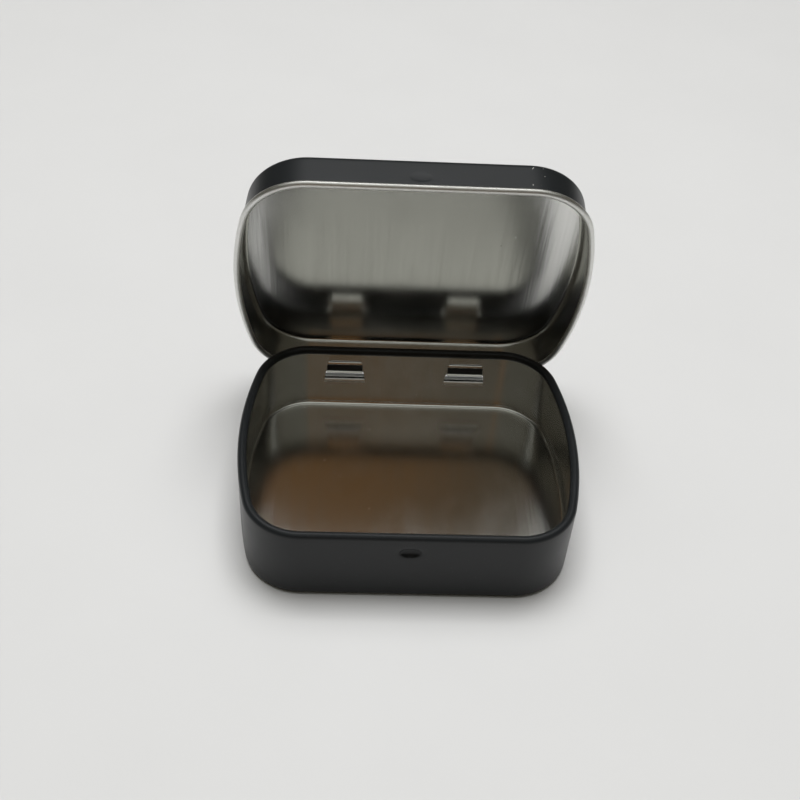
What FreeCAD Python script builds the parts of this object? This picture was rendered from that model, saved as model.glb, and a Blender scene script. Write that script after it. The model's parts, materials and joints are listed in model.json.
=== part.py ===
"""Hinged tin box, open: a deep base and a shallower lid, each pressed from thin tinplate.

Millimetres, +Z up. The origin is the middle of the base's underside, and the front is -Y.
Each piece is drawn in its closed place. The lid's body is then turned open about the hinge.
The lid hangs on two tongues of its rear wall, which hook through windows of the base.
"""
import FreeCAD, Part
import os
import Sketcher
from FreeCAD import Vector
from math import atan2, cos, degrees, radians, sin, sqrt, tan

doc = FreeCAD.newDocument("hinged_tin")
sheet = doc.addObject("Spreadsheet::Sheet", "sizes")

SIZES = [
    ("sheet_thickness", 0.25, "tinplate of both pieces"),
    # the base
    ("width", 60.0, "outside width of the base, between the bowed ends"),
    ("depth", 47.4, "outside depth of the base"),
    ("base_height", 15.3, "height of the base with its rim"),
    ("corner_radius", 10.2, "outside radius of the base's corners in plan"),
    ("end_radius", 67.0, "outside radius of the bowed ends in plan"),
    ("base_foot_radius", 1.1, "outside radius round the foot of the base"),
    ("base_bead_radius", 0.8, "rim of the base, rolled inwards"),
    # the lid
    ("lid_height", 7.85, "outside height of the lid with its rim"),
    ("lid_clearance", 0.55, "gap between the walls of the base and the closed lid"),
    ("lid_seat_gap", 0.3, "gap between the base's rim and the closed lid's panel"),
    ("lid_edge_radius", 1.1, "outside radius round the panel of the lid"),
    ("lid_bead_radius", 0.6, "rim of the lid, rolled outwards"),
    ("bead_lap", 280.0, "how far both rims are rolled, in degrees"),
    # the hinge
    ("open_angle", 78.5, "how far the lid stands open, in degrees"),
    ("hinge_spacing", 23.5, "between the middles of the two tongues"),
    ("axis_rise", 0.18, "hinge axis above the underside of the closed lid's rim"),
    ("axis_offset", 0.82, "hinge axis behind the base's rear wall"),
    ("tongue_width", 6.9, "width of a tongue"),
    ("tongue_reach", 2.9, "tip of a tongue above the hinge axis when open"),
    ("tongue_bend_radius", 0.6, "inner radius of the bend in a tongue"),
    ("tongue_tip_radius", 0.9, "rounded corners at the tip of a tongue"),
    ("stop_gap", 0.1, "gap between an open tongue and the rear wall that stops it"),
    ("window_shoulder", 0.1, "rear wall left between the rolled rim and a window"),
    ("window_side_gap", 0.5, "gap between a tongue and the foot of a window, at each side"),
    ("window_lean", 8.7, "lean of each side of a window, in degrees"),
    ("window_sill_gap", 0.15, "gap between a passing tongue and the foot of a window"),
    ("sill_depth", 0.8, "flap at the foot of a window, bent out behind the wall"),
    # the dimples that hold the lid shut
    ("dimple_rise", 3.55, "middle of both dimples above the underside of the closed lid's rim"),
    ("dimple_width", 3.6, "width of a dimple"),
    ("dimple_tallness", 2.2, "height of a dimple"),
    ("base_dimple_depth", 0.5, "depth of the dimple in the base"),
    ("lid_dimple_depth", 0.14, "depth of the dimple in the lid"),
]
for row, (alias, value, note) in enumerate(SIZES, start=1):
    sheet.set("A%d" % row, str(value))
    sheet.setAlias("A%d" % row, alias)
    sheet.set("B%d" % row, note)
doc.recompute()


def cells(expression):
    """Turn each {alias} of an expression into a reference to its cell."""
    for alias, _, _ in SIZES:
        expression = expression.replace("{%s}" % alias, "<<sizes>>.%s" % alias)
    return expression


def number(expression):
    """An expression's value, for the places where a sketch's geometry starts."""
    return float(sheet.evalExpression(cells(expression)))


def worked_out(alias, expression, note):
    """Add a size that follows from the others, as a formula cell of the sheet."""
    row = len(SIZES) + 1
    formula = expression.replace("{", "").replace("}", "")
    sheet.set("A%d" % row, "=" + formula)
    sheet.setAlias("A%d" % row, alias)
    sheet.set("B%d" % row, note)
    SIZES.append((alias, None, note))
    doc.recompute()


worked_out("lid_foot", "{base_height} + {lid_seat_gap} + {sheet_thickness} - {lid_height}",
           "underside of the closed lid's rim above the base's underside")
worked_out("lid_outset", "{lid_clearance} + {sheet_thickness}",
           "outer face of the lid outside the base's")
worked_out("axis_height", "{lid_foot} + {axis_rise}", "hinge axis above the underside")
worked_out("dimple_height", "{lid_foot} + {dimple_rise}", "middle of both dimples above the underside")
worked_out("axis_depth", "{depth} / 2 + {axis_offset}", "hinge axis behind the middle")
worked_out("leg_distance", "{axis_offset} + {sheet_thickness} + {stop_gap}",
           "near face of a tongue's leg from the hinge axis")
worked_out("window_top", "{base_height} - 2 * {base_bead_radius} - {window_shoulder}",
           "top of a window above the underside")
worked_out("window_foot", "{axis_height} - {leg_distance} - {sheet_thickness} - {window_sill_gap}",
           "foot of a window above the underside")


def new_body(label):
    body = doc.addObject("PartDesign::Body", label)
    body.Label = label
    return body


def new_sketch(body, name, role, lift=None):
    """A sketch on one of the body's own planes, moved along its normal by an expression."""
    sketch = body.newObject("Sketcher::SketchObject", name)
    plane = next(item for item in body.Origin.OriginFeatures if item.Role == role)
    sketch.AttachmentSupport = [(plane, "")]
    sketch.MapMode = "FlatFace"
    if lift:
        sketch.setExpression("AttachmentOffset.Base.z", cells(lift))
    doc.recompute()
    return sketch


def constrain(sketch, kind, *places, to=None):
    """Add a constraint, bound to an expression when one is given."""
    if to is None:
        sketch.addConstraint(Sketcher.Constraint(kind, *places))
        return
    unit = radians(1) if kind == "Angle" else 1
    index = sketch.addConstraint(Sketcher.Constraint(kind, *places, number(to) * unit))
    measure = " * 1 deg" if kind == "Angle" else ""
    sketch.setExpression("Constraints[%d]" % index, "(%s)%s" % (cells(to), measure))


START, END, CENTRE = 1, 2, 3
ORIGIN = (-1, 1)
X_AXIS = -1


def join(sketch, first, second):
    """Continue one edge smoothly into the next."""
    constrain(sketch, "Tangent", first, END, second, START)


def arc(centre, radius, start, end):
    """An arc about a centre, between two angles in degrees, run anticlockwise."""
    circle = Part.Circle(Vector(*centre, 0), Vector(0, 0, 1), radius)
    return Part.ArcOfCircle(circle, radians(start), radians(end))


def draw_outline(sketch, outset="0"):
    """The box in plan: straight front and back, bowed ends and rounded corners.

    outset moves the whole outline outwards from the outer face of the base. The back is two
    lines that meet in the middle, where the profile of a rolled rim starts.
    """
    half_width, half_depth, corner, end = (number(part + outset) for part in (
        "{width} / 2 + ", "{depth} / 2 + ", "{corner_radius} + ", "{end_radius} + "))
    end_x = half_width - end
    corner_y = half_depth - corner
    corner_x = end_x + sqrt((end - corner) ** 2 - corner_y ** 2)
    bow = degrees(atan2(corner_y, corner_x - end_x))
    corners = [(corner_x, corner_y), (-corner_x, corner_y), (-corner_x, -corner_y), (corner_x, -corner_y)]
    back_right = Vector(corner_x, half_depth, 0)
    front_left = Vector(-corner_x, -half_depth, 0)
    edges = [
        arc((end_x, 0), end, -bow, bow),
        arc(corners[0], corner, bow, 90),
        Part.LineSegment(back_right, Vector(0, half_depth, 0)),
        Part.LineSegment(Vector(0, half_depth, 0), Vector(-corner_x, half_depth, 0)),
        arc(corners[1], corner, 90, 180 - bow),
        arc((-end_x, 0), end, 180 - bow, 180 + bow),
        arc(corners[2], corner, 180 + bow, 270),
        Part.LineSegment(front_left, Vector(corner_x, -half_depth, 0)),
        arc(corners[3], corner, 270, 360 - bow),
    ]
    sketch.addGeometry(edges, False)
    right, back_near, back_far, left, front = 0, 2, 3, 5, 7
    for first in range(len(edges)):
        second = (first + 1) % len(edges)
        if (first, second) == (back_near, back_far):
            constrain(sketch, "Coincident", first, END, second, START)
        else:
            join(sketch, first, second)
    for straight in (back_near, back_far, front):
        constrain(sketch, "Horizontal", straight)
    constrain(sketch, "PointOnObject", back_near, END, -2)
    constrain(sketch, "DistanceY", *ORIGIN, back_near, END, to="{depth} / 2 + " + outset)
    constrain(sketch, "DistanceY", front, START, *ORIGIN, to="{depth} / 2 + " + outset)
    for bowed, near, far in ((right, (right, CENTRE), ORIGIN), (left, ORIGIN, (left, CENTRE))):
        constrain(sketch, "Radius", bowed, to="{end_radius} + " + outset)
        constrain(sketch, "PointOnObject", bowed, CENTRE, X_AXIS)
        constrain(sketch, "DistanceX", *near, *far, to="{end_radius} - {width} / 2")
    for rounded in (1, 4, 6, 8):
        constrain(sketch, "Radius", rounded, to="{corner_radius} + " + outset)
    doc.recompute()


def draw_rolled_rim(sketch, middle_y, middle_z, radius, side, down):
    """The section of a rolled rim across the back: sheet rolled about its own middle.

    The roll starts at the wall, whose skin it shares. side is -1 where the roll's middle lies
    in front of the wall and +1 behind it; down is True where the wall ends downwards.
    """
    y, z, outer = number(middle_y), number(middle_z), number(radius)
    inner = outer - number("{sheet_thickness}")
    lap = number("{bead_lap}")
    wall = 0 if side < 0 else 180
    clockwise = (side < 0) == down
    begin, finish = (wall - lap, wall) if clockwise else (wall, wall + lap)

    def point(reach, angle):
        return Vector(y + reach * cos(radians(angle)), z + reach * sin(radians(angle)), 0)

    at_wall, at_tip = (END, START) if clockwise else (START, END)
    wall_end, tip_end = (finish, begin) if clockwise else (begin, finish)
    outer_arc, inner_arc, wall_line, tip_line = sketch.addGeometry([
        arc((y, z), outer, begin, finish),
        arc((y, z), inner, begin, finish),
        Part.LineSegment(point(inner, wall_end), point(outer, wall_end)),
        Part.LineSegment(point(inner, tip_end), point(outer, tip_end)),
    ], False)
    constrain(sketch, "Coincident", outer_arc, CENTRE, inner_arc, CENTRE)
    for line, place in ((wall_line, at_wall), (tip_line, at_tip)):
        constrain(sketch, "Coincident", line, START, inner_arc, place)
        constrain(sketch, "Coincident", line, END, outer_arc, place)
    constrain(sketch, "Horizontal", wall_line)
    constrain(sketch, "Horizontal", inner_arc, CENTRE, wall_line, START)
    constrain(sketch, "PointOnObject", outer_arc, CENTRE, tip_line)
    constrain(sketch, "DistanceX", *ORIGIN, outer_arc, CENTRE, to=middle_y)
    constrain(sketch, "DistanceY", *ORIGIN, outer_arc, CENTRE, to=middle_z)
    constrain(sketch, "Radius", outer_arc, to=radius)
    constrain(sketch, "Radius", inner_arc, to=radius + " - {sheet_thickness}")
    constrain(sketch, "Angle", outer_arc, to="{bead_lap}")
    doc.recompute()


def add(body, kind, name, profile, **values):
    """A feature on a profile sketch. A value given as text is an expression."""
    feature = body.newObject("PartDesign::" + kind, name)
    if profile is not None:
        feature.Profile = (profile, [""])
    for key, value in values.items():
        if isinstance(value, str) and "{" in value:
            feature.setExpression(key, cells(value))
        else:
            setattr(feature, key, value)
    doc.recompute()
    return feature


def edges_at(shape, height):
    """Names of the edges that lie flat at a height."""
    names = []
    for index, edge in enumerate(shape.Edges, start=1):
        box = edge.BoundBox
        if abs(box.ZMin - height) < 1e-4 and abs(box.ZMax - height) < 1e-4:
            names.append("Edge%d" % index)
    return names


def face_at(shape, height):
    """Name of the level face at a height."""
    for index, face in enumerate(shape.Faces, start=1):
        if abs(face.BoundBox.ZMin - height) < 1e-4 and abs(face.BoundBox.ZMax - height) < 1e-4:
            return "Face%d" % index
    raise ValueError("no level face at %g" % height)


def press_shell(body, outset, foot, wall_end, edge_radius, upside_down=False):
    """Draw a tray from sheet: a block with a rounded foot, hollowed from its open side."""
    plan = new_sketch(body, body.Label + "_plan", "XY_Plane", lift=foot)
    draw_outline(plan, outset)
    length = "%s - (%s)" % (("(%s)" % foot, wall_end) if upside_down else (wall_end, foot))
    block = add(body, "Pad", body.Label + "_block", plan, Length=length, Reversed=upside_down)
    foot_edges = edges_at(block.Shape, number(foot))
    rounded = add(body, "Fillet", body.Label + "_rounded", None,
                  Base=(block, foot_edges), Radius=edge_radius)
    open_face = face_at(rounded.Shape, number(wall_end))
    return add(body, "Thickness", body.Label + "_shell", None, Base=(rounded, [open_face]),
               Value="{sheet_thickness}", Reversed=True, Mode="Skin", Join="Intersection")


def roll_rim(body, outset, middle_z, radius, side, down):
    """Roll the rim of a tray round, along its whole outline."""
    path = new_sketch(body, body.Label + "_rim_path", "XY_Plane", lift=middle_z)
    draw_outline(path, outset)
    section = new_sketch(body, body.Label + "_rim_section", "YZ_Plane")
    draw_rolled_rim(section, "{depth} / 2 + " + outset, middle_z, radius, side, down)
    return add(body, "AdditivePipe", body.Label + "_rim", section,
               Spine=(path, [""]), Mode="Frenet")


def mirror(body, feature):
    """Repeat a feature on the other side of the box."""
    mirrored = body.newObject("PartDesign::Mirrored", feature.Name + "_pair")
    mirrored.Originals = [feature]
    plane = next(item for item in body.Origin.OriginFeatures if item.Role == "YZ_Plane")
    mirrored.MirrorPlane = (plane, [""])
    body.Tip = mirrored
    doc.recompute()
    return mirrored


def cut_windows(body):
    """Two windows in the rear wall, wider at the foot, where the tongues of the lid hook in."""
    middle = number("{hinge_spacing} / 2")
    foot = number("{window_foot}")
    top = number("{window_top}")
    half_foot = number("{tongue_width} / 2 + {window_side_gap}")
    half_top = half_foot - (top - foot) * tan(radians(number("{window_lean}")))
    corners = [Vector(middle - half_foot, foot, 0), Vector(middle + half_foot, foot, 0),
               Vector(middle + half_top, top, 0), Vector(middle - half_top, top, 0)]
    sketch = new_sketch(body, "window", "XZ_Plane")
    sill, right, head, left = sketch.addGeometry(
        [Part.LineSegment(corners[place], corners[(place + 1) % 4]) for place in range(4)], False)
    for first, second in ((sill, right), (right, head), (head, left), (left, sill)):
        constrain(sketch, "Coincident", first, END, second, START)
    constrain(sketch, "Horizontal", sill)
    constrain(sketch, "Horizontal", head)
    constrain(sketch, "DistanceY", *ORIGIN, sill, START, to="{window_foot}")
    constrain(sketch, "DistanceY", *ORIGIN, head, START, to="{window_top}")
    constrain(sketch, "DistanceX", sill, START, sill, END, to="{tongue_width} + 2 * {window_side_gap}")
    constrain(sketch, "DistanceX", *ORIGIN, sill, START,
              to="{hinge_spacing} / 2 - {tongue_width} / 2 - {window_side_gap}")
    constrain(sketch, "Angle", sill, START, left, END, to="90 - {window_lean}")
    constrain(sketch, "Angle", right, START, sill, END, to="90 - {window_lean}")
    cut = add(body, "Pocket", "windows", sketch, Type="ThroughAll")
    mirror(body, cut)


def bend_out_sills(body):
    """The sheet at the foot of each window is bent out, level, as a flap behind the wall."""
    flap = body.newObject("PartDesign::AdditiveBox", "sill")
    flap.setExpression("Length", cells("{tongue_width} + 2 * {window_side_gap}"))
    flap.setExpression("Width", cells("{sill_depth} + {sheet_thickness}"))
    flap.setExpression("Height", cells("{sheet_thickness}"))
    flap.setExpression("Placement.Base.x", cells("{hinge_spacing} / 2 - {tongue_width} / 2 - {window_side_gap}"))
    flap.setExpression("Placement.Base.y", cells("{depth} / 2 - {sheet_thickness}"))
    flap.setExpression("Placement.Base.z", cells("{window_foot} - {sheet_thickness}"))
    doc.recompute()
    mirror(body, flap)


def draw_tongue(sketch):
    """A tongue from the side: down from the rear wall, round a bend and forwards as a leg.

    The leg passes the hinge axis at a distance that leaves it upright just inside the rear
    wall of the base when the lid is open.
    """
    thick = number("{sheet_thickness}")
    bend = number("{tongue_bend_radius}")
    wall = number("{depth} / 2 + {lid_clearance}")
    top = number("{lid_foot} + 2 * {lid_bead_radius}")
    opening = radians(number("{open_angle}"))
    axis = Vector(number("{axis_depth}"), number("{axis_height}"), 0)
    along = Vector(-sin(opening), cos(opening), 0)
    across = Vector(-cos(opening), -sin(opening), 0)
    level = axis + across * (number("{leg_distance}") - bend)
    centre = level + along * ((wall - bend - level.x) / along.x)
    tip = axis + across * number("{leg_distance}") + along * number("{tongue_reach}")
    leg_angle = degrees(atan2(across.y, across.x))
    outside = Vector(wall + thick, top, 0)
    inside = Vector(wall, top, 0)
    axis_point, wall_out, bend_out, leg_out, end, leg_in, bend_in, wall_in, cap = sketch.addGeometry([
        Part.Point(axis),
        Part.LineSegment(outside, Vector(wall + thick, centre.y, 0)),
        arc((centre.x, centre.y), bend + thick, leg_angle, 0),
        Part.LineSegment(centre + across * (bend + thick), tip + across * thick),
        Part.LineSegment(tip + across * thick, tip),
        Part.LineSegment(tip, centre + across * bend),
        arc((centre.x, centre.y), bend, leg_angle, 0),
        Part.LineSegment(Vector(wall, centre.y, 0), inside),
        Part.LineSegment(inside, outside),
    ], False)
    constrain(sketch, "Tangent", wall_out, END, bend_out, END)
    constrain(sketch, "Tangent", bend_out, START, leg_out, START)
    constrain(sketch, "Coincident", leg_out, END, end, START)
    constrain(sketch, "Coincident", end, END, leg_in, START)
    constrain(sketch, "Tangent", leg_in, END, bend_in, START)
    constrain(sketch, "Tangent", bend_in, END, wall_in, START)
    constrain(sketch, "Coincident", wall_in, END, cap, START)
    constrain(sketch, "Coincident", cap, END, wall_out, START)
    constrain(sketch, "Coincident", bend_in, CENTRE, bend_out, CENTRE)
    constrain(sketch, "Vertical", wall_in)
    constrain(sketch, "Horizontal", cap)
    constrain(sketch, "Perpendicular", end, leg_in)
    constrain(sketch, "Radius", bend_in, to="{tongue_bend_radius}")
    constrain(sketch, "Radius", bend_out, to="{tongue_bend_radius} + {sheet_thickness}")
    constrain(sketch, "DistanceX", *ORIGIN, axis_point, START, to="{axis_depth}")
    constrain(sketch, "DistanceY", *ORIGIN, axis_point, START, to="{axis_height}")
    constrain(sketch, "DistanceX", *ORIGIN, cap, START, to="{depth} / 2 + {lid_clearance}")
    constrain(sketch, "DistanceY", *ORIGIN, cap, START, to="{lid_foot} + 2 * {lid_bead_radius}")
    constrain(sketch, "Angle", leg_out, to="90 + {open_angle}")
    constrain(sketch, "Distance", axis_point, START, leg_in, to="{leg_distance}")
    constrain(sketch, "Distance", axis_point, START, end, to="{tongue_reach}")
    sketch.toggleConstruction(axis_point)
    doc.recompute()


def add_tongues(body):
    """Both tongues, with their tips rounded."""
    side = new_sketch(body, "tongue_side", "YZ_Plane", lift="{hinge_spacing} / 2")
    draw_tongue(side)
    tongue = add(body, "Pad", "tongue", side, Length="{tongue_width}", Midplane=True)
    pair = mirror(body, tongue)
    thick = number("{sheet_thickness}")
    corners = []
    for index, edge in enumerate(pair.Shape.Edges, start=1):
        middle = edge.CenterOfMass
        inside = 0 < middle.y < number("{depth} / 2") and middle.z < number("{lid_foot}")
        if inside and abs(edge.Length - thick) < 1e-4:
            corners.append("Edge%d" % index)
    add(body, "Fillet", "tongue_tips", None, Base=(pair, corners), Radius="{tongue_tip_radius}")


def ball(body, kind, name, outer_face, depth, grow):
    """An ellipsoid centred on the outer face of a front wall, as large as a dimple plus grow."""
    solid = body.newObject("PartDesign::" + kind, name)
    solid.setExpression("Radius1", cells("{dimple_tallness} / 2 + " + grow))
    solid.setExpression("Radius2", cells("{dimple_width} / 2 + " + grow))
    solid.setExpression("Radius3", cells("%s + %s" % (depth, grow)))
    solid.setExpression("Placement.Base.y", cells("-(%s)" % outer_face))
    solid.setExpression("Placement.Base.z", cells("{dimple_height}"))
    doc.recompute()


def press_dimple(body, outer_face, depth):
    """A dimple in the front wall: a swelling inside, trimmed flush outside, with its hollow."""
    name = body.Label
    ball(body, "AdditiveEllipsoid", name + "_swelling", outer_face, depth, "{sheet_thickness}")
    trim = body.newObject("PartDesign::SubtractiveBox", name + "_flush")
    trim.setExpression("Length", cells("2 * {dimple_width}"))
    trim.setExpression("Width", cells("%s + 2 * {sheet_thickness}" % depth))
    trim.setExpression("Height", cells("2 * {dimple_tallness}"))
    trim.setExpression("Placement.Base.x", cells("-{dimple_width}"))
    trim.setExpression("Placement.Base.y", cells("-(%s) - %s - 2 * {sheet_thickness}" % (outer_face, depth)))
    trim.setExpression("Placement.Base.z", cells("{dimple_height} - {dimple_tallness}"))
    doc.recompute()
    ball(body, "SubtractiveEllipsoid", name + "_dimple", outer_face, depth, "0")


def make_base():
    body = new_body("base")
    wall_end = "{base_height} - {base_bead_radius}"
    press_shell(body, "0", "0", wall_end, "{base_foot_radius}")
    roll_rim(body, "-{base_bead_radius}", wall_end, "{base_bead_radius}", side=-1, down=False)
    cut_windows(body)
    bend_out_sills(body)
    press_dimple(body, "{depth} / 2", "{base_dimple_depth}")
    return body


def make_lid():
    body = new_body("lid")
    wall_end = "{lid_foot} + {lid_bead_radius}"
    press_shell(body, "{lid_outset}", "{lid_foot} + {lid_height}", wall_end, "{lid_edge_radius}",
                upside_down=True)
    roll_rim(body, "{lid_clearance} + {lid_bead_radius}", wall_end, "{lid_bead_radius}",
             side=1, down=True)
    add_tongues(body)
    press_dimple(body, "{depth} / 2 + {lid_outset}", "{lid_dimple_depth}")
    body.setExpression("Placement", cells(
        "placement(vector(0; 0; 0); rotation(vector(1; 0; 0); -{open_angle}); "
        "vector(0; {axis_depth}; {axis_height}))"))
    doc.recompute()
    return body


def check(bodies):
    """Stop if anything failed to rebuild or a piece isn't one sound solid."""
    failed = [item.Name for item in doc.Objects if {"Invalid", "Error"} & set(item.State)]
    if failed:
        raise RuntimeError("failed to rebuild: " + ", ".join(failed))
    for body in bodies:
        shape = body.Shape
        if shape.isNull() or not shape.isValid() or len(shape.Solids) != 1:
            raise RuntimeError(body.Label + " is not one valid solid")
        print("%s: %.1f cubic millimetres" % (body.Label, shape.Volume))


pieces = [make_base(), make_lid()]
check(pieces)
os.makedirs("parts", exist_ok=True)
for piece in pieces:
    piece.Shape.exportStep("parts/%s.step" % piece.Label)
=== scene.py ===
# %% [markdown]
# # A hinged tin box, standing open
#
# The box is two trays pressed from thin tinplate: a deep base and a shallower lid, joined by
# two tongues of the lid that hook through windows in the rear wall of the base. The outside
# is painted black. The inside is bare metal with a fine grain, and it works as a blurred
# mirror, so most of this lesson is about clean surfaces and about what they reflect.
#
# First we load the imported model, which fixes every size and place.

# %% Load the frame
import bpy
import json
import numpy as np
from math import atan2, cos, degrees, pi, radians, sin
from mathutils import Matrix, Vector


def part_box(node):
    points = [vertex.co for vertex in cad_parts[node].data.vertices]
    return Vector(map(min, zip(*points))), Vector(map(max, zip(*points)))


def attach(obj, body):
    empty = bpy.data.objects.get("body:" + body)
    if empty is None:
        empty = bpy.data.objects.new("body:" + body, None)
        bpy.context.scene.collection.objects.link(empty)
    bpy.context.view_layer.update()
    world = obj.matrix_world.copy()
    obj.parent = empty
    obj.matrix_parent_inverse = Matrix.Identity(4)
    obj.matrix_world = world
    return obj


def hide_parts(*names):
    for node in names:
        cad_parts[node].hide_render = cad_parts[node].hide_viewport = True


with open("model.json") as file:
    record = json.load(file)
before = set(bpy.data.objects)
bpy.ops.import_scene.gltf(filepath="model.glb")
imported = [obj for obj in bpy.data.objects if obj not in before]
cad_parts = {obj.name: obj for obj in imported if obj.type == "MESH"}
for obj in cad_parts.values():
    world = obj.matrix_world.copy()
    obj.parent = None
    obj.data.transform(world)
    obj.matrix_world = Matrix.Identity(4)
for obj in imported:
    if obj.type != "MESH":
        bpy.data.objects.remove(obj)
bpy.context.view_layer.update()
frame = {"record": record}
MM = 0.001
base_low, base_high = (np.array(corner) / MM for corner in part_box("base"))
hinge = frame["record"]["behaviour"]["joints"][0]
axis_y, axis_z = (value / MM for value in hinge["pos_m"][1:])
open_angle = radians(hinge["range_deg"][1])
print("base", base_low.round(2), base_high.round(2), "mm")
print("hinge axis at y", round(axis_y, 2), "and z", round(axis_z, 2), "mm")

# %% [markdown]
# ## Sizes
#
# Everything below is in millimetres until a mesh is made. The plan of the box has a straight
# front and back, gently bowed ends and round corners. The overall sizes come from the frame,
# and the small radii and gaps are those of the pressed sheet.

# %% Sizes of the two trays
SHEET = 0.25
HALF_WIDTH = base_high[0]
HALF_DEPTH = -base_low[1]
CORNER = 10.2
BOWED_END = 67.0
BASE_HEIGHT = base_high[2]
FOOT_RADIUS = 1.1
BASE_BEAD = 0.8
LID_BEAD = 0.6
BEAD_LAP = 280.0
LID_EDGE = 1.1
LID_CLEARANCE = 0.55
LID_HEIGHT = 7.85
LID_SEAT_GAP = 0.3
LID_FOOT = BASE_HEIGHT + LID_SEAT_GAP + SHEET - LID_HEIGHT
DIMPLE_HEIGHT = LID_FOOT + 3.55
DIMPLE_WIDTH = 3.6
DIMPLE_TALLNESS = 2.2
AXIS_OFFSET = axis_y - HALF_DEPTH
STOP_GAP = 0.1
SILL_GAP = 0.15
print("closed, the lid's rim sits %.2f mm above the table" % LID_FOOT)

# %% [markdown]
# ## The outline
#
# A pressed tray has the same outline at every level, only moved in or out by a little. So we
# work out one closed curve of points together with the outward direction at each point. Any
# other level is then "point plus offset times direction", which keeps the corners truly
# round. Each stretch is an arc with its own centre, and a straight side is just a line.


# %% The outline and its outward directions
def outline(corner_steps=24, end_steps=32, side_steps=92):
    """Points and outward unit vectors round the base's outer face, anticlockwise from +X.

    An arc of radius r about c is c + r (cos a, sin a), and its outward direction is
    (cos a, sin a). The corner arcs touch the bowed ends from inside, which fixes the angle
    where they meet. Along a side, x follows even_share t + (1 - even_share) t cubed, which
    packs the points closer in the middle, where the dimple is.
    """
    even_share = 0.35
    end_x = HALF_WIDTH - BOWED_END
    corner_y = HALF_DEPTH - CORNER
    corner_x = end_x + np.sqrt((BOWED_END - CORNER) ** 2 - corner_y ** 2)
    bow = atan2(corner_y, corner_x - end_x)
    points, outward = [], []

    def add_arc(cx, cy, radius, start, end, steps):
        angle = np.linspace(start, end, steps, endpoint=False)
        ways = np.stack([np.cos(angle), np.sin(angle)], axis=1)
        points.append(np.array([cx, cy]) + radius * ways)
        outward.append(ways)

    def add_side(y, start, end, steps):
        even = np.linspace(-1, 1, steps, endpoint=False)
        packed = even_share * even + (1 - even_share) * even ** 3
        x = (start + end) / 2 + (end - start) / 2 * packed
        points.append(np.stack([x, np.full_like(x, y)], axis=1))
        outward.append(np.tile([0.0, np.sign(y)], (steps, 1)))

    add_arc(end_x, 0, BOWED_END, -bow, bow, end_steps)
    add_arc(corner_x, corner_y, CORNER, bow, pi / 2, corner_steps)
    add_side(HALF_DEPTH, corner_x, -corner_x, side_steps)
    add_arc(-corner_x, corner_y, CORNER, pi / 2, pi - bow, corner_steps)
    add_arc(-end_x, 0, BOWED_END, pi - bow, pi + bow, end_steps)
    add_arc(-corner_x, -corner_y, CORNER, pi + bow, 1.5 * pi, corner_steps)
    add_side(-HALF_DEPTH, -corner_x, corner_x, side_steps)
    add_arc(corner_x, -corner_y, CORNER, 1.5 * pi, 2 * pi - bow, corner_steps)
    return np.concatenate(points), np.concatenate(outward)


RING, OUTWARD = outline()
print(len(RING), "points round the outline")

# %% [markdown]
# ## The profile of a tray
#
# Cut through the wall, a tray is a line of sheet: level floor, small round foot, upright
# wall, and a rim that is rolled round like a scroll. We write that line as pairs of (offset
# from the outline, height) and carry it round the outline. The inner and the outer face are
# one closed skin, so the sheet has its real thickness everywhere, even inside the roll.


# %% Profiles as offset and height
FOOT_STEPS = 12
HOLLOW_STEPS = 30
ROLL_STEPS = 40
WALL_STEPS = 14
FINE_STEPS = 19
FINE_REACH = 1.5


def curve(centre, radius, start, end, steps=FOOT_STEPS):
    """Points of an arc in the profile plane: centre + radius (cos a, sin a), in degrees."""
    angle = np.radians(np.linspace(start, end, steps))
    return np.stack([centre[0] + radius * np.cos(angle), centre[1] + radius * np.sin(angle)], axis=1)


def rise(offset, start, end, fine):
    """An upright wall at one offset, with its points closer together round the height fine."""
    even = np.linspace(start, end, WALL_STEPS)[1:-1]
    close = fine + np.linspace(-FINE_REACH, FINE_REACH, FINE_STEPS)
    height = np.sort(np.concatenate([even, close]))
    if end < start:
        height = height[::-1]
    return np.stack([np.full_like(height, offset), height], axis=1)


def tray_profile(height, wall, edge, bead, side, fine):
    """(inner face, rolled rim, outer face) of a tray that stands on its floor.

    wall is the offset of the outer face. side is -1 for a rim rolled inwards, whose outside
    is flush with the wall, and +1 for one rolled outwards, whose inside is flush. The two
    faces of the roll are arcs about one middle, with radii that differ by the sheet.
    """
    top = height - bead
    foot = (wall - edge, edge)
    inner = np.concatenate([curve(foot, edge - SHEET, -90, 0), rise(wall - SHEET, edge, top, fine)])
    outer = np.concatenate([rise(wall, top, edge, fine), curve(foot, edge, 0, -90)])
    inside_edge, outside_edge = wall - SHEET, wall
    if side < 0:
        middle = (outside_edge - bead, top)
        hollow = curve(middle, bead - SHEET, 0, BEAD_LAP, HOLLOW_STEPS)
        round_back = curve(middle, bead, BEAD_LAP, 0, ROLL_STEPS)
        return inner, np.concatenate([hollow, round_back]), outer
    middle = (inside_edge + bead, top)
    round_back = curve(middle, bead, 180, 180 - BEAD_LAP, ROLL_STEPS)
    hollow = curve(middle, bead - SHEET, 180 - BEAD_LAP, 180, HOLLOW_STEPS)
    return inner, np.concatenate([round_back, hollow]), outer


base_profiles = tray_profile(BASE_HEIGHT, 0.0, FOOT_RADIUS, BASE_BEAD, side=-1, fine=DIMPLE_HEIGHT)
print("points across the base's wall and rim:", [len(part) for part in base_profiles])

# %% [markdown]
# ## Walls and floors as rings
#
# The carried profile gives a grid of points: one row per profile point, one column per
# outline point. Each floor is closed with rings that shrink towards the middle. Real pressed
# floors are never quite flat, and a mirror shows that, so the inner floors get a few long,
# shallow waves of some thousandths of a millimetre.


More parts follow.
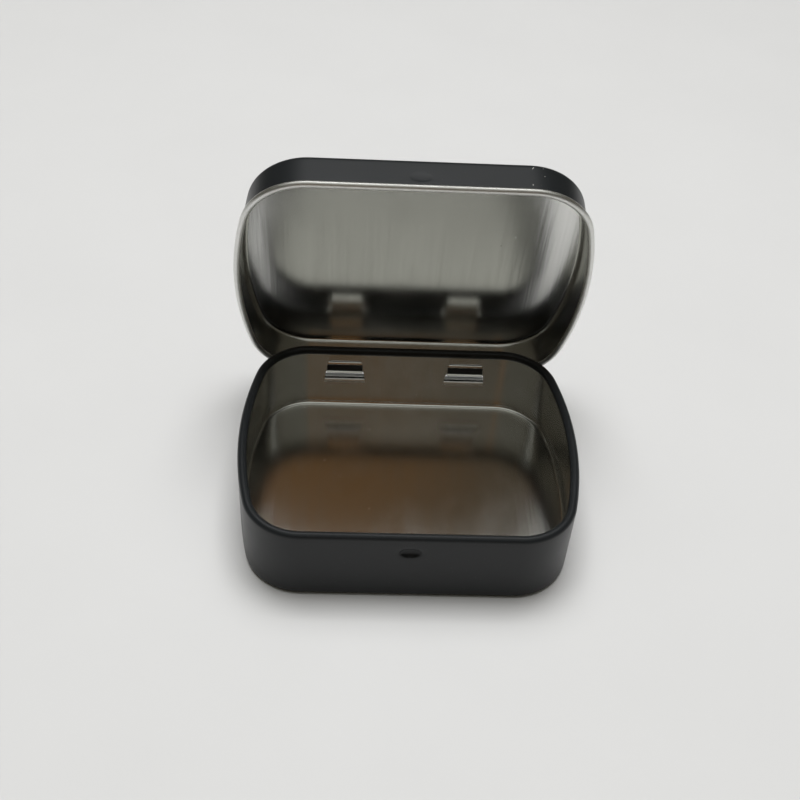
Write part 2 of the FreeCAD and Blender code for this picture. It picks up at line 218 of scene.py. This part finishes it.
# %% Rings of points
def shrink_rows(last_offset, level, steps=16):
    """Rings of a floor: the outline at last_offset, scaled by 1 - t, at a level."""
    scale = 1 - np.linspace(0, 1, steps + 1)[1:-1]
    ring = RING + last_offset * OUTWARD
    flat = scale[:, None, None] * ring[None]
    return np.concatenate([flat, np.full(flat.shape[:2] + (1,), level)], axis=2)


def wall_rows(profile):
    """One ring per profile point: outline + offset times outward, at that point's height."""
    flat = RING[None] + profile[:, 0, None, None] * OUTWARD[None]
    height = np.broadcast_to(profile[:, 1, None, None], flat.shape[:2] + (1,))
    return np.concatenate([flat, height], axis=2)


def floor_waves(x, y, amount, seed):
    """Long shallow waves: a sum of a few sines of x and y that fades out at the wall.

    Each wave has its own slopes along x and y and its own phase, and each is weaker than the
    one before it and a little quicker along x.
    """
    rng = np.random.default_rng(seed)
    slow, quick = 0.03, 0.11
    total = np.zeros_like(x)
    for wave in range(5):
        across = rng.uniform(slow, quick) * (1 + wave * 0.3)
        along = rng.uniform(slow, quick)
        phase = rng.uniform(0, 2 * pi)
        total += np.sin(across * x + along * y + phase) / (1 + wave)
    fade = np.clip(1 - (x / HALF_WIDTH) ** 2, 0, 1) * np.clip(1 - (y / HALF_DEPTH) ** 2, 0, 1)
    return amount * total * fade


print("rings in a floor:", len(shrink_rows(0.0, 0.0)), "of", len(RING), "points")

# %% [markdown]
# ## From rings to a closed tray
#
# A mesh is points and faces. Points that follow one another in a grid make four-sided faces
# by counting alone, with no search: each face joins a point, its neighbour in the ring and
# the two points in the next ring. A last fan of triangles closes each floor. Each face also
# gets a material number, so that one skin can be bare inside and painted outside.


# %% Grid surfaces
SAME_HEIGHT = 1e-6


def tray_grid(profiles, levels, waves, seed, zones):
    """Points, faces and material numbers of a closed tray: floor, wall, rim, wall, underside.

    levels are the heights of the inner floor and the underside. zones give the material
    number of the inner floor, the inner wall, the rim and the outer face. Point k of ring r
    has the number r times the points in a ring, plus k.
    """
    inner, rim, outer = profiles
    inside_floor = shrink_rows(inner[0, 0], levels[0])[::-1]
    underside = shrink_rows(outer[-1, 0], levels[1])
    rows = np.concatenate([inside_floor, wall_rows(inner), wall_rows(rim), wall_rows(outer), underside])
    on_floor = len(inside_floor) + FOOT_STEPS // 2
    counts = [on_floor, len(inner) - FOOT_STEPS // 2, len(rim), len(outer) + len(underside)]
    row_count, column_count = rows.shape[:2]
    middles = np.array([[0, 0, levels[0]], [0, 0, levels[1]]])
    points = np.concatenate([rows.reshape(-1, 3), middles])
    inside = np.abs(points[:, 2] - levels[0]) < SAME_HEIGHT
    points[inside, 2] += floor_waves(points[inside, 0], points[inside, 1], waves, seed)
    row, column = np.meshgrid(np.arange(row_count - 1), np.arange(column_count), indexing="ij")
    here = row * column_count + column
    beside = row * column_count + (column + 1) % column_count
    quads = np.stack([here, here + column_count, beside + column_count, beside], axis=-1)
    start = np.arange(column_count)
    onward = (start + 1) % column_count
    first = row_count * column_count
    end = first - column_count
    inside_cap = np.stack([np.full_like(start, first), start, onward], axis=-1)
    outside_cap = np.stack([np.full_like(start, first + 1), end + onward, end + start], axis=-1)
    faces = quads.reshape(-1, 4).tolist() + inside_cap.tolist() + outside_cap.tolist()
    indices = np.concatenate([np.repeat(np.repeat(zones, counts)[:-1], column_count),
                              np.full(column_count, zones[0]), np.full(column_count, zones[-1])])
    return points, faces, indices


SHARP_ANGLE = radians(38)


def make_piece(name, points, faces, materials, indices=None):
    """A mesh object at the origin from points in millimetres."""
    mesh = bpy.data.meshes.new(name)
    mesh.from_pydata((np.asarray(points) * MM).tolist(), [], faces)
    for material in materials:
        mesh.materials.append(material)
    if indices is not None:
        mesh.polygons.foreach_set("material_index", np.asarray(indices, dtype=np.int32))
    mesh.update()
    mesh.shade_smooth()
    mesh.set_sharp_from_angle(angle=SHARP_ANGLE)
    piece = bpy.data.objects.new(name, mesh)
    bpy.context.scene.collection.objects.link(piece)
    return piece


print("edges sharper than", round(degrees(SHARP_ANGLE)), "degrees stay sharp")

# %% [markdown]
# ## Node materials as arithmetic
#
# Shader maths reads best as a formula. This small class wraps one output of a node, so that
# `1 - mask * 0.5` adds the Math nodes by itself.


# %% A socket that can be calculated with
class Wire:
    """One output of a shader node, with arithmetic on values."""

    def __init__(self, tree, socket):
        self.tree = tree
        self.socket = socket

    def maths(self, operation, *others, swap=False):
        """A Math node of this value and the others, or the other way round with swap."""
        node = self.tree.nodes.new("ShaderNodeMath")
        node.operation = operation
        values = list(others) + [self] if swap else [self] + list(others)
        for place, value in zip(node.inputs, values):
            if isinstance(value, Wire):
                self.tree.links.new(value.socket, place)
            else:
                place.default_value = value
        return Wire(self.tree, node.outputs[0])

    def __add__(self, other):
        return self.maths("ADD", other)

    def __radd__(self, other):
        return self.maths("ADD", other, swap=True)

    def __sub__(self, other):
        return self.maths("SUBTRACT", other)

    def __rsub__(self, other):
        return self.maths("SUBTRACT", other, swap=True)

    def __mul__(self, other):
        return self.maths("MULTIPLY", other)

    def __rmul__(self, other):
        return self.maths("MULTIPLY", other, swap=True)

    def __truediv__(self, other):
        return self.maths("DIVIDE", other)

    def clamp(self):
        """The value, but never below 0 or above 1."""
        return self.maths("MAXIMUM", 0.0).maths("MINIMUM", 1.0)


print("a wire adds, subtracts, multiplies, divides and clamps")

# %% [markdown]
# ## One method for every other node
#
# All nodes that aren't arithmetic come from one method, which takes the node's type, its
# settings and the values or links of its inputs. Noise, a colour mix and the surface itself
# are used often enough to get a short name each.


# %% A material's nodes
class Shader:
    """A material or world whose nodes are added one by one."""

    def __init__(self, owner):
        owner.use_nodes = True
        self.owner = owner
        self.tree = owner.node_tree
        self.tree.nodes.clear()

    def node(self, kind, settings=None, output=0, **inputs):
        """Add a node: its settings first, then its inputs, named with _ for a space."""
        made = self.tree.nodes.new("ShaderNode" + kind)
        for key, value in (settings or {}).items():
            setattr(made, key, value)
        for key, value in inputs.items():
            place = made.inputs[int(key[1:]) if key[1:].isdigit() else key.replace("_", " ")]
            if isinstance(value, Wire):
                self.tree.links.new(value.socket, place)
            else:
                place.default_value = value
        return Wire(self.tree, made.outputs[output]) if made.outputs else None

    def noise(self, scale, detail, stretch=(1, 1, 1)):
        """Noise on object coordinates, with scale in cycles per metre and a stretch per axis."""
        place = self.node("TexCoord", output="Object")
        mapped = self.node("Mapping", Vector=place, Scale=tuple(scale * part for part in stretch))
        return self.node("TexNoise", Vector=mapped, Scale=1.0, Detail=detail)

    def blend(self, amount, first, second):
        """Mix two colours."""
        return self.node("Mix", {"data_type": "RGBA"}, output=2, i0=amount, i6=first, i7=second)

    def finish(self, **inputs):
        """Close the material with one surface that has these inputs."""
        surface = self.node("BsdfPrincipled", **inputs)
        self.node("OutputMaterial", Surface=surface)
        return self.owner


def new_material(name):
    """A shader for a new, empty material."""
    return Shader(bpy.data.materials.new(name))


print("materials so far:", len(bpy.data.materials))

# %% [markdown]
# ## Bare tinplate
#
# The inside is bare tinplate: a bright metal, slightly warm, with fine grain from the
# rolling mill that runs from front to back. Noise that is stretched fiftyfold along one axis
# gives that grain, and it drives both a tiny bump and the roughness. A wide noise makes the
# smears that handling leaves, and a sharp one a few dark specks. The upright walls have their
# grain from top to bottom, and the rolled rim is duller, because rolling scuffs it.


# %% Tinplate
BRIGHT_TIN = (0.84, 0.84, 0.815, 1)
GREYER_TIN = (0.67, 0.67, 0.645, 1)
SPECK_COLOR = (0.35, 0.33, 0.30, 1)
TIN_ROUGHNESS = 0.15
GRAIN_STRETCH = 0.02
STREAK_STRETCH = 0.05


def tinplate(name, along, dullness=0.0):
    """Bare tin whose grain runs along the axes named 1 in along, and varies across the others."""
    shader = new_material(name)
    fine = tuple(GRAIN_STRETCH if part else 1.0 for part in along)
    coarse = tuple(STREAK_STRETCH if part else 1.0 for part in along)
    grain = shader.noise(2100, detail=1.0, stretch=fine)
    streaks = shader.noise(620, detail=2.0, stretch=coarse)
    clouds = shader.noise(75, detail=4.0, stretch=(1.2, 0.8, 0.8))
    specks = shader.noise(1300, detail=1.0)
    smear = ((clouds - 0.50) * 5.0).clamp()
    speck = ((specks - 0.80) * 40.0).clamp()
    even = dullness + TIN_ROUGHNESS
    roughness = even + 0.05 * grain + 0.04 * streaks + 0.05 * smear + 0.2 * speck
    clean = shader.blend(grain * 0.55 + streaks * 0.45, BRIGHT_TIN, GREYER_TIN)
    color = shader.blend(speck * 0.6, clean, SPECK_COLOR)
    bump = shader.node("Bump", Strength=1.0, Distance=0.000012, Height=grain * 0.7 + streaks * 1.5)
    return shader.finish(Base_Color=color, Metallic=1.0, Roughness=roughness, Normal=bump)


TIN = tinplate("bare_tinplate", along=(0, 1, 1))
TIN_WALL = tinplate("bare_tinplate_wall", along=(0, 0, 1))
TIN_RIM = tinplate("bare_tinplate_rim", along=(0, 0, 0), dullness=0.22)
print("bare finishes:", TIN.name, TIN_WALL.name, TIN_RIM.name)

# %% [markdown]
# ## Black paint
#
# The outside is sprayed and baked satin black. It has an even, very fine orange-peel bump,
# slightly varying gloss, a little pale dust, and a few bright nicks where the paint has
# come off the metal. Nicks are where a sharp noise passes a high threshold, and the
# threshold is lower near one corner of the lid, which has been knocked.


# %% Paint
DEEP_BLACK = (0.0095, 0.0110, 0.0122, 1)
SOFT_BLACK = (0.0135, 0.0150, 0.0162, 1)
DUST_COLOR = (0.16, 0.16, 0.155, 1)
NICK_COLOR = (0.62, 0.61, 0.58, 1)
WORN_X = (17.5, 21.5)
WORN_Z = (55.4, 90)


def along_axis(shader, axis):
    """The object's own coordinate along one axis, in millimetres."""
    place = shader.node("TexCoord", output="Object")
    return shader.node("SeparateXYZ", output=axis, Vector=place) / MM


def band(value, start, end, sharpness=9.0):
    """1 between start and end, 0 outside, with soft edges."""
    return ((value - start) * sharpness).clamp() * ((end - value) * sharpness).clamp()


def black_paint():
    """Two near blacks mixed by a wide noise, then dust and nicks where sharp noises are high."""
    shader = new_material("satin_black_paint")
    peel = shader.noise(2600, detail=2.0)
    cloud = shader.noise(120, detail=4.0)
    dust = shader.noise(4200, detail=1.0)
    chips = shader.noise(1500, detail=2.0, stretch=(1, 1, 0.5))
    worn = band(along_axis(shader, 0), *WORN_X, 1.0) * band(along_axis(shader, 2), *WORN_Z, 1.0)
    nick = ((chips - 0.86 + 0.20 * worn) * 60.0).clamp()
    pale = ((dust - 0.74) * 18.0).clamp() * 0.25
    paint = shader.blend(cloud, DEEP_BLACK, SOFT_BLACK)
    dusty = shader.blend(pale, paint, DUST_COLOR)
    color = shader.blend(nick, dusty, NICK_COLOR)
    roughness = 0.30 + 0.12 * cloud + 0.1 * pale
    bump = shader.node("Bump", Strength=0.25, Distance=0.00001, Height=peel)
    return shader.finish(Base_Color=color, Metallic=nick, Roughness=roughness, Normal=bump,
                         Specular_IOR_Level=0.28)


BLACK = black_paint()
print("painted finish:", BLACK.name)

# %% [markdown]
# ## Metal that is only partly black: worn paint and painted shade
#
# At the hinge the paint is half there. The tongues have lost it at their tips and where their
# bend rubs. On the flaps below the windows the black is painted shade: a band that stands for
# the dark slot under the tongue. Both are one material each, with a mask in millimetres that
# says where it is black. A little noise added to the coordinate makes the edge of the black ragged.


# %% Painted shade on the flaps and worn paint on the tongues
HINGE_TIN = (0.85, 0.85, 0.83, 1)
HINGE_BLACK = (0.010, 0.010, 0.010, 1)
PAINT_ROUGHNESS = 0.38


def paint_or_painted_shade(name, mask, bare_roughness):
    """Bare tin with black on it where mask, a function of the shader, is 1: paint on the tongues,
    painted shade on the flaps.
    """
    shader = new_material(name)
    painted = mask(shader)
    color = shader.blend(painted, HINGE_TIN, HINGE_BLACK)
    roughness = bare_roughness + (PAINT_ROUGHNESS - bare_roughness) * painted
    return shader.finish(Base_Color=color, Metallic=1 - painted, Roughness=roughness)


def ragged(shader):
    """A small shift, up to a tenth of a millimetre either way, from noise."""
    return (shader.noise(900, detail=2.0) - 0.5) * 0.2


def flap_painted_shade(shader):
    """Painted shade on the flap: a black band behind its bright lip, for the dark slot under the
    tongue, by its distance behind the base.
    """
    # The flap's black band is painted shade, standing for the dark slot between the tongue and the
    # flap.
    behind_wall = along_axis(shader, 1) + ragged(shader) - HALF_DEPTH
    return band(behind_wall, 0.12, 0.62)


def unworn(shader):
    """Black on the tongue's leg in a band of height, and on all that is behind the wall."""
    wander = ragged(shader)
    leg = band(along_axis(shader, 2) + wander, axis_z + 0.95, axis_z + 2.45)
    outside = ((along_axis(shader, 1) + wander - HALF_DEPTH - 0.3) * 9.0).clamp()
    return leg.maths("MAXIMUM", outside)


# The flap's black band is painted shade; the tongue's black is the lid's own paint, worn off at the
# bend and tip.
FLAP = paint_or_painted_shade("flap_tin_and_painted_shade", flap_painted_shade, 0.34)
TONGUE = paint_or_painted_shade("tongue_worn_paint", unworn, 0.25)
print("partly painted finishes:", FLAP.name, TONGUE.name)

# %% [markdown]
# ## The base
#
# The base's rim is rolled inwards, flush with its wall, and the paint goes all round the
# roll. The dimple that holds the lid shut is pressed into the front wall, so both faces of
# the sheet move in together: an oval dish whose depth falls off from its middle.


# %% Press the base
EDGE_SHARE = 0.12
SKIRT_FALL = 2.2


def press_dimple(points, wall, depth):
    """Move the front wall's points inwards, by a share of depth that falls off in an oval.

    q is the squared distance from the oval's middle, 1 on its edge. Inside, the share is
    EDGE_SHARE + (1 - EDGE_SHARE) times the root of 1 - q, and outside it dies away from
    EDGE_SHARE as e to the power of -SKIRT_FALL (q - 1).
    """
    on_wall = np.abs(points[:, 1] + (HALF_DEPTH + wall)) < SHEET * 1.2
    across = points[:, 0] / (DIMPLE_WIDTH / 2)
    upwards = (points[:, 2] - DIMPLE_HEIGHT) / (DIMPLE_TALLNESS / 2)
    q = across ** 2 + upwards ** 2
    dish = EDGE_SHARE + (1 - EDGE_SHARE) * np.sqrt(np.clip(1 - q, 0, 1))
    skirt = EDGE_SHARE * np.exp(-np.clip(q - 1, 0, 9) * SKIRT_FALL)
    points[on_wall, 1] += depth * np.where(q < 1, dish, skirt)[on_wall]


base_points, base_faces, base_zones = tray_grid(
    base_profiles, (SHEET, 0.0), waves=0.004, seed=4, zones=[0, 1, 2, 2])
press_dimple(base_points, wall=-SHEET / 2, depth=0.7)
base_tray = make_piece("base_tray", base_points, base_faces, [TIN, TIN_WALL, BLACK], base_zones)
print("base:", len(base_faces), "faces")

# %% [markdown]
# ## Windows for the hinge
#
# Two windows are punched through the rear wall, and a tongue of the lid hooks through each.
# They are wider at the foot than at the top. We punch them as a press does: a solid tool of
# the window's shape is subtracted from the wall. The tool reaches a little lower than the
# window's foot, because the sheet there is bent out, which is the next step.


# %% Punch the windows
HINGE_X = 11.75
WINDOW_SHOULDER = 0.1
WINDOW_FOOT = axis_z - AXIS_OFFSET - 2 * SHEET - STOP_GAP - SILL_GAP
WINDOW_TOP = BASE_HEIGHT - 2 * BASE_BEAD - WINDOW_SHOULDER
WINDOW_HALF_FOOT = 3.95
WINDOW_LEAN = radians(8.7)
SILL_BEND = 0.75
TOOL_REACH = 2


def punch(tray, middle):
    """Subtract a tapered block, from in front of the rear wall to behind it.

    Half its width at the top is that at the foot, less the height times the tangent of the
    lean of each side.
    """
    half_top = WINDOW_HALF_FOOT - (WINDOW_TOP - WINDOW_FOOT) * np.tan(WINDOW_LEAN)
    front, back = HALF_DEPTH - TOOL_REACH, HALF_DEPTH + TOOL_REACH
    foot = WINDOW_FOOT - SILL_BEND
    face = [(-WINDOW_HALF_FOOT, foot), (WINDOW_HALF_FOOT, foot),
            (WINDOW_HALF_FOOT, WINDOW_FOOT),
            (half_top, WINDOW_TOP), (-half_top, WINDOW_TOP), (-WINDOW_HALF_FOOT, WINDOW_FOOT)]
    points = [(middle + x, y, z) for y in (front, back) for x, z in face]
    count = len(face)
    sides = [(place, place + count, (place + 1) % count + count, (place + 1) % count)
             for place in range(count)]
    faces = [tuple(range(count)), tuple(range(count, 2 * count))[::-1]] + sides
    tool = make_piece("punch", points, faces, [TIN])
    cut = tray.modifiers.new("window", "BOOLEAN")
    cut.operation = "DIFFERENCE"
    cut.solver = "EXACT"
    cut.object = tool
    return tool


def keep_cut(tray, tools):
    """Make the cut mesh the tray's own mesh, and put the tools away."""
    evaluated = tray.evaluated_get(bpy.context.evaluated_depsgraph_get())
    mesh = bpy.data.meshes.new_from_object(evaluated)
    tray.modifiers.clear()
    tray.data = mesh
    mesh.shade_smooth()
    mesh.set_sharp_from_angle(angle=SHARP_ANGLE)
    for tool in tools:
        bpy.data.objects.remove(tool)


keep_cut(base_tray, [punch(base_tray, side * HINGE_X) for side in (-1, 1)])
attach(base_tray, "base")
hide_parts("base")
print("base after punching:", len(base_tray.data.polygons), "faces")

# %% [markdown]
# ## Sills
#
# The sheet at the foot of each window isn't cut away but bent out behind the wall, as a level
# flap that the tongue turns over. The bend catches the light as a bright lip, and behind it a
# black band on the flap is painted shade, standing for the dark slot under the tongue. We draw
# the flap's middle line from the side and thicken it, with a helper that the tongues use again.


# %% Bend out the sills
STRIP_COLUMNS = 50
SILL_DEPTH = 1.5
SILL_STEPS = 12


def strip(line, half_widths, middle):
    """Points and faces of a bent strip of sheet, closed all round.

    line is its middle line from the side, as (y, z). Each face is the line moved along its
    normal by plus or minus half the sheet, and carried across x from -half_width to
    +half_width.
    """
    way = np.gradient(line, axis=0)
    way /= np.linalg.norm(way, axis=1)[:, None]
    normal = np.stack([way[:, 1], -way[:, 0]], axis=1)
    share = np.linspace(-1, 1, STRIP_COLUMNS // 2)
    across = np.concatenate([share, share[::-1]])
    face = np.repeat([1.0, -1.0], STRIP_COLUMNS // 2) * SHEET / 2
    x = middle + half_widths[:, None] * across[None]
    y = line[:, 0, None] + normal[:, 0, None] * face[None]
    z = line[:, 1, None] + normal[:, 1, None] * face[None]
    rows = np.stack([x, y, z], axis=2)
    row_count, column_count = rows.shape[:2]
    row, column = np.meshgrid(np.arange(row_count - 1), np.arange(column_count), indexing="ij")
    here = row * column_count + column
    beside = row * column_count + (column + 1) % column_count
    quads = np.stack([here, beside, beside + column_count, here + column_count], axis=-1)
    ends = [list(range(column_count))[::-1],
            list(range((row_count - 1) * column_count, row_count * column_count))]
    return rows.reshape(-1, 3), quads.reshape(-1, 4).tolist() + ends


def second_face(faces):
    """1 for each face on the painted side of a strip, 0 for the bare side and the cut edges."""
    column = np.arange(len(faces)) % STRIP_COLUMNS
    return (column > STRIP_COLUMNS // 2 - 1) & (column < STRIP_COLUMNS - 1)


def sill(name, middle):
    """The wall's sheet, bent outwards at the window's foot round a small arc into a level flap."""
    lap = 0.05
    radius = SILL_BEND - SHEET / 2
    centre = (HALF_DEPTH - SHEET + SILL_BEND, WINDOW_FOOT - SILL_BEND)
    arc = curve(centre, radius, 180, 90, SILL_STEPS)
    level = np.linspace(arc[-1, 0], HALF_DEPTH + SILL_DEPTH, SILL_STEPS)[1:]
    flap = np.stack([level, np.full_like(level, arc[-1, 1])], axis=1)
    line = np.concatenate([[arc[0] - (0, lap)], arc, flap])[::-1]
    points, faces = strip(line, np.full(len(line), WINDOW_HALF_FOOT), middle)
    piece = make_piece(name, points, faces, [FLAP, BLACK], second_face(faces))
    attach(piece, "base")


for side, name in ((-1, "sill_left"), (1, "sill_right")):
    sill(name, side * HINGE_X)
print("sills at %.2f mm" % WINDOW_FOOT)

# %% [markdown]
# ## The lid
#
# The lid is pressed the same way, but its rim is rolled outwards and left bare. We draw it
# as a tray that stands on its panel, turn it over into its closed place, and then swing it
# open about the hinge axis, as the real one is.


# %% Press the lid and swing it open
def swing(points, angle):
    """Turn points about the hinge axis; a positive angle lifts the front of the lid."""
    turned = np.array(points, dtype=float)
    y, z = turned[:, 1] - axis_y, turned[:, 2] - axis_z
    turned[:, 1] = axis_y + y * cos(angle) + z * sin(angle)
    turned[:, 2] = axis_z - y * sin(angle) + z * cos(angle)
    return turned


LID_TOP = LID_FOOT + LID_HEIGHT
lid_profiles = tray_profile(LID_HEIGHT, LID_CLEARANCE + SHEET, LID_EDGE, LID_BEAD, side=1,
                            fine=LID_TOP - DIMPLE_HEIGHT)
lid_points, lid_faces, lid_zones = tray_grid(
    lid_profiles, (SHEET, 0.0), waves=0.004, seed=9, zones=[0, 1, 3, 2])
lid_points[:, 1] *= -1
lid_points[:, 2] = LID_TOP - lid_points[:, 2]
press_dimple(lid_points, wall=LID_CLEARANCE + SHEET / 2, depth=0.07)
lid_tray = make_piece("lid_tray", swing(lid_points, open_angle), lid_faces,
                     [TIN, TIN_WALL, BLACK, TIN_RIM], lid_zones)
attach(lid_tray, "lid")
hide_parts("lid")
print("lid:", len(lid_faces), "faces")

# %% [markdown]
# ## The hinge tongues
#
# Each tongue is a strip of the lid's own sheet. It goes on from the rear wall, through the
# window, round a bend and up as a short leg. We draw its middle line from the side, as for
# the flaps, and narrow the last rows to round the corners of its tip. The leg isn't straight
# on such tins: a blunt ridge is pressed across it, and its tip leans back.

# %% Tongues
TONGUE_HALF_WIDTH = 3.45
TONGUE_REACH = 2.9
TONGUE_BEND = 0.6 + SHEET / 2
LEG_DISTANCE = AXIS_OFFSET + SHEET + STOP_GAP + SHEET / 2
TIP_RADIUS = 0.9
LEG_RISE = [0.0, 0.45, 1.70, 1.90, 2.13]
LEG_BULGE = [0.0, 0.12, -0.22, -0.34, -0.74]
WALL_LAP = 1.0
WALL_POINTS = 6
BEND_POINTS = 14
LEG_POINTS = 49
MEAN_SPAN = 5
EDGE_ROUNDING = 0.09


def tongue_line():
    """The strip's middle line from the side, closed lid: wall, bend, leg, as (y, z).

    The leg stands off its straight line by LEG_BULGE, a blunt ridge in its lower half and a
    tip that leans back, and the corners of that line are rounded by a running mean.
    """
    wall_y = HALF_DEPTH + LID_CLEARANCE + SHEET / 2
    along = np.array([-sin(open_angle), cos(open_angle)])
    across = np.array([-cos(open_angle), -sin(open_angle)])
    level = np.array([axis_y, axis_z]) + across * (LEG_DISTANCE - TONGUE_BEND)
    centre = level + along * ((wall_y - TONGUE_BEND - level[0]) / along[0])
    wall_z = np.linspace(LID_FOOT + WALL_LAP, centre[1], WALL_POINTS)
    wall = np.stack([np.full(WALL_POINTS, wall_y), wall_z], axis=1)
    bend = curve(centre, TONGUE_BEND, 0, degrees(atan2(across[1], across[0])), BEND_POINTS)
    end = np.array([axis_y, axis_z]) + across * LEG_DISTANCE + along * TONGUE_REACH
    length = np.linalg.norm(end - bend[-1])
    place = np.linspace(0, length, LEG_POINTS)
    bulge = np.pad(np.interp(place, LEG_RISE, LEG_BULGE), MEAN_SPAN // 2, mode="edge")
    bulge = np.convolve(bulge, np.full(MEAN_SPAN, 1 / MEAN_SPAN), mode="valid")
    leg = bend[-1] + place[1:, None] * along + bulge[1:, None] * across
    return np.concatenate([wall[:-1], bend, leg])


def tongue(name, middle):
    """A strip along tongue_line, with the two corners of its tip rounded.

    Near the tip the half width follows a circle: with s short of the tip radius, it loses the
    radius less the root of (radius squared - s squared).
    """
    line = tongue_line()
    from_tip = np.linalg.norm(line[-1] - line, axis=1)
    short = np.clip(TIP_RADIUS - from_tip, 0, None)
    half = TONGUE_HALF_WIDTH - TIP_RADIUS + np.sqrt(TIP_RADIUS ** 2 - short ** 2)
    points, faces = strip(line, half, middle)
    piece = make_piece(name, swing(points, open_angle), faces, [TIN, TONGUE], second_face(faces))
    rounding = piece.modifiers.new("rounded_cut_edges", "BEVEL")
    rounding.width = EDGE_ROUNDING * MM
    rounding.segments = 3
    rounding.angle_limit = radians(50)
    rounding.material = 0
    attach(piece, "lid")


for side, name in ((-1, "tongue_left"), (1, "tongue_right")):
    tongue(name, side * HINGE_X)
print("tongues reach", TONGUE_REACH, "mm up from the hinge axis")

# %% [markdown]
# ## Table and light
#
# The table is plain and pale, and only stands in for whatever the box is put on. One broad
# soft light hangs above it. The light is hidden from mirror reflections, because the bare
# inside would show it as a hard white patch. What the inside reflects comes from the world.

# %% Table and light
TABLE_SIZE = 3.0
PALE_TABLE = (0.63, 0.63, 0.63, 1)
MOTTLED_TABLE = (0.60, 0.60, 0.60, 1)


def table():
    """A square of side TABLE_SIZE metres at height 0, with a faint mottle."""
    shader = new_material("pale_table")
    mottle = shader.noise(30, detail=4.0)
    color = shader.blend(mottle, PALE_TABLE, MOTTLED_TABLE)
    pale = shader.finish(Base_Color=color, Roughness=0.7)
    edge = TABLE_SIZE / 2 / MM
    corners = [(-edge, -edge, 0), (edge, -edge, 0), (edge, edge, 0), (-edge, edge, 0)]
    top = make_piece("table_top", corners, [(0, 1, 2, 3)], [pale])


def soft_light(name, place, target, width, depth, power):
    """A rectangle of light in metres and watts, turned to face its target."""
    light = bpy.data.lights.new(name, "AREA")
    light.shape = "RECTANGLE"
    light.size = width
    light.size_y = depth
    light.energy = power
    lamp = bpy.data.objects.new(name, light)
    lamp.visible_glossy = False
    lamp.location = place
    lamp.rotation_euler = (Vector(target) - Vector(place)).to_track_quat("-Z", "Y").to_euler()
    bpy.context.scene.collection.objects.link(lamp)


table()
soft_light("overhead", (0.0, 0.10, 0.80), (0, 0, 0), width=0.5, depth=0.35, power=6.0)
bpy.context.scene.view_settings.view_transform = "Standard"
print("lights:", [light.name for light in bpy.data.lights])

# %% [markdown]
# ## What the metal reflects
#
# Bare tinplate has hardly any colour of its own, so it looks like whatever is round it. The
# floor, walls and panel mirror each other before they mirror the room. The world's colour is
# a formula of the direction, so we can place those reflections without any objects: dark in
# general, light overhead, strong from high behind, and warm brown from the front.

# %% World
ROOM = (0.060, 0.055, 0.042, 1)
CEILING = (0.51, 0.515, 0.48, 1)
REAR_GLOW = (3.9, 3.9, 3.9, 1)
WARM_BROWN = (0.162, 0.076, 0.022, 1)
BACKDROP = (0.80, 0.80, 0.80, 1)


def ramp(shader, value, zero_at, one_at):
    """Rises smoothly from 0 to 1 as value goes from zero_at to one_at."""
    return shader.node("MapRange", {"interpolation_type": "SMOOTHSTEP"}, Value=value,
                       From_Min=zero_at, From_Max=one_at, To_Min=0.0, To_Max=1.0)


def surroundings():
    """World colour by direction: dark, lighter overhead, bright behind, warm in front.

    x, y and z are the parts of the unit direction. overhead rises with z, and behind with both
    y and z. The warm patch is where y is well below 0 and x is near a line that leans with
    z, and it narrows upwards. The camera itself sees only the plain backdrop.
    """
    world = bpy.data.worlds.new("studio")
    bpy.context.scene.world = world
    shader = Shader(world)
    ray = shader.node("TexCoord", output="Generated")
    x, y, z = (shader.node("SeparateXYZ", output=axis, Vector=ray) for axis in range(3))
    overhead = ramp(shader, z, 0.775, 0.82)
    behind = ramp(shader, y, 0.15, 0.50) * ramp(shader, z, 0.785, 0.87)
    front = ramp(shader, y, -0.45, -0.80)
    aside = (x + 0.10 - 0.167 * z).maths("ABSOLUTE") + 0.30 * (z - 0.42)
    patch = front * ramp(shader, aside, 0.155, 0.06) * (1 - overhead)
    grey = shader.blend(overhead, ROOM, CEILING)
    lit = shader.blend(behind, grey, REAR_GLOW)
    warm = shader.blend(patch, lit, WARM_BROWN)
    seen = shader.node("LightPath", output="Is Camera Ray")
    color = shader.blend(seen, warm, BACKDROP)
    background = shader.node("Background", Color=color, Strength=1.0)
    shader.node("OutputWorld", Surface=background)


surroundings()
print("world:", bpy.context.scene.world.name)

# %% [markdown]
# ## Camera
#
# A product view of an open box looks down into it from the front. We place the camera by its
# aim, its two angles and its distance, as one would walk round the table, and then roll it
# slightly. The angles and the lens together set how strongly the far rim shrinks.


# %% Camera
SENSOR_WIDTH = 36


def add_camera(aim, azimuth, elevation, roll, distance, lens):
    """A camera at a distance from its aim, by azimuth and elevation, rolled about its view.

    Its direction from the aim is (sin a cos e, -cos a cos e, sin e). Angles are in degrees,
    the aim and the distance in millimetres.
    """
    a, e = radians(azimuth), radians(elevation)
    back = Vector((sin(a) * cos(e), -cos(a) * cos(e), sin(e)))
    data = bpy.data.cameras.new("camera")
    data.sensor_width = SENSOR_WIDTH
    data.lens = lens
    camera = bpy.data.objects.new("camera", data)
    turn = (-back).to_track_quat("-Z", "Y").to_matrix() @ Matrix.Rotation(radians(roll), 3, "Z")
    camera.matrix_world = Matrix.Translation((Vector(aim) + back * distance) * MM) @ turn.to_4x4()
    data.clip_start, data.clip_end = 0.005, 10
    bpy.context.scene.collection.objects.link(camera)
    bpy.context.scene.camera = camera


add_camera(aim=(-1.46, 8.84, 15.3), azimuth=-3.58, elevation=43.57, roll=4.06,
           distance=203.8, lens=50.19)
print("camera:", bpy.context.scene.camera.name)

# %% [markdown]
# ## Update the scene
#
# Last, we update the view layer.

# %% Update the view layer
bpy.context.view_layer.update()
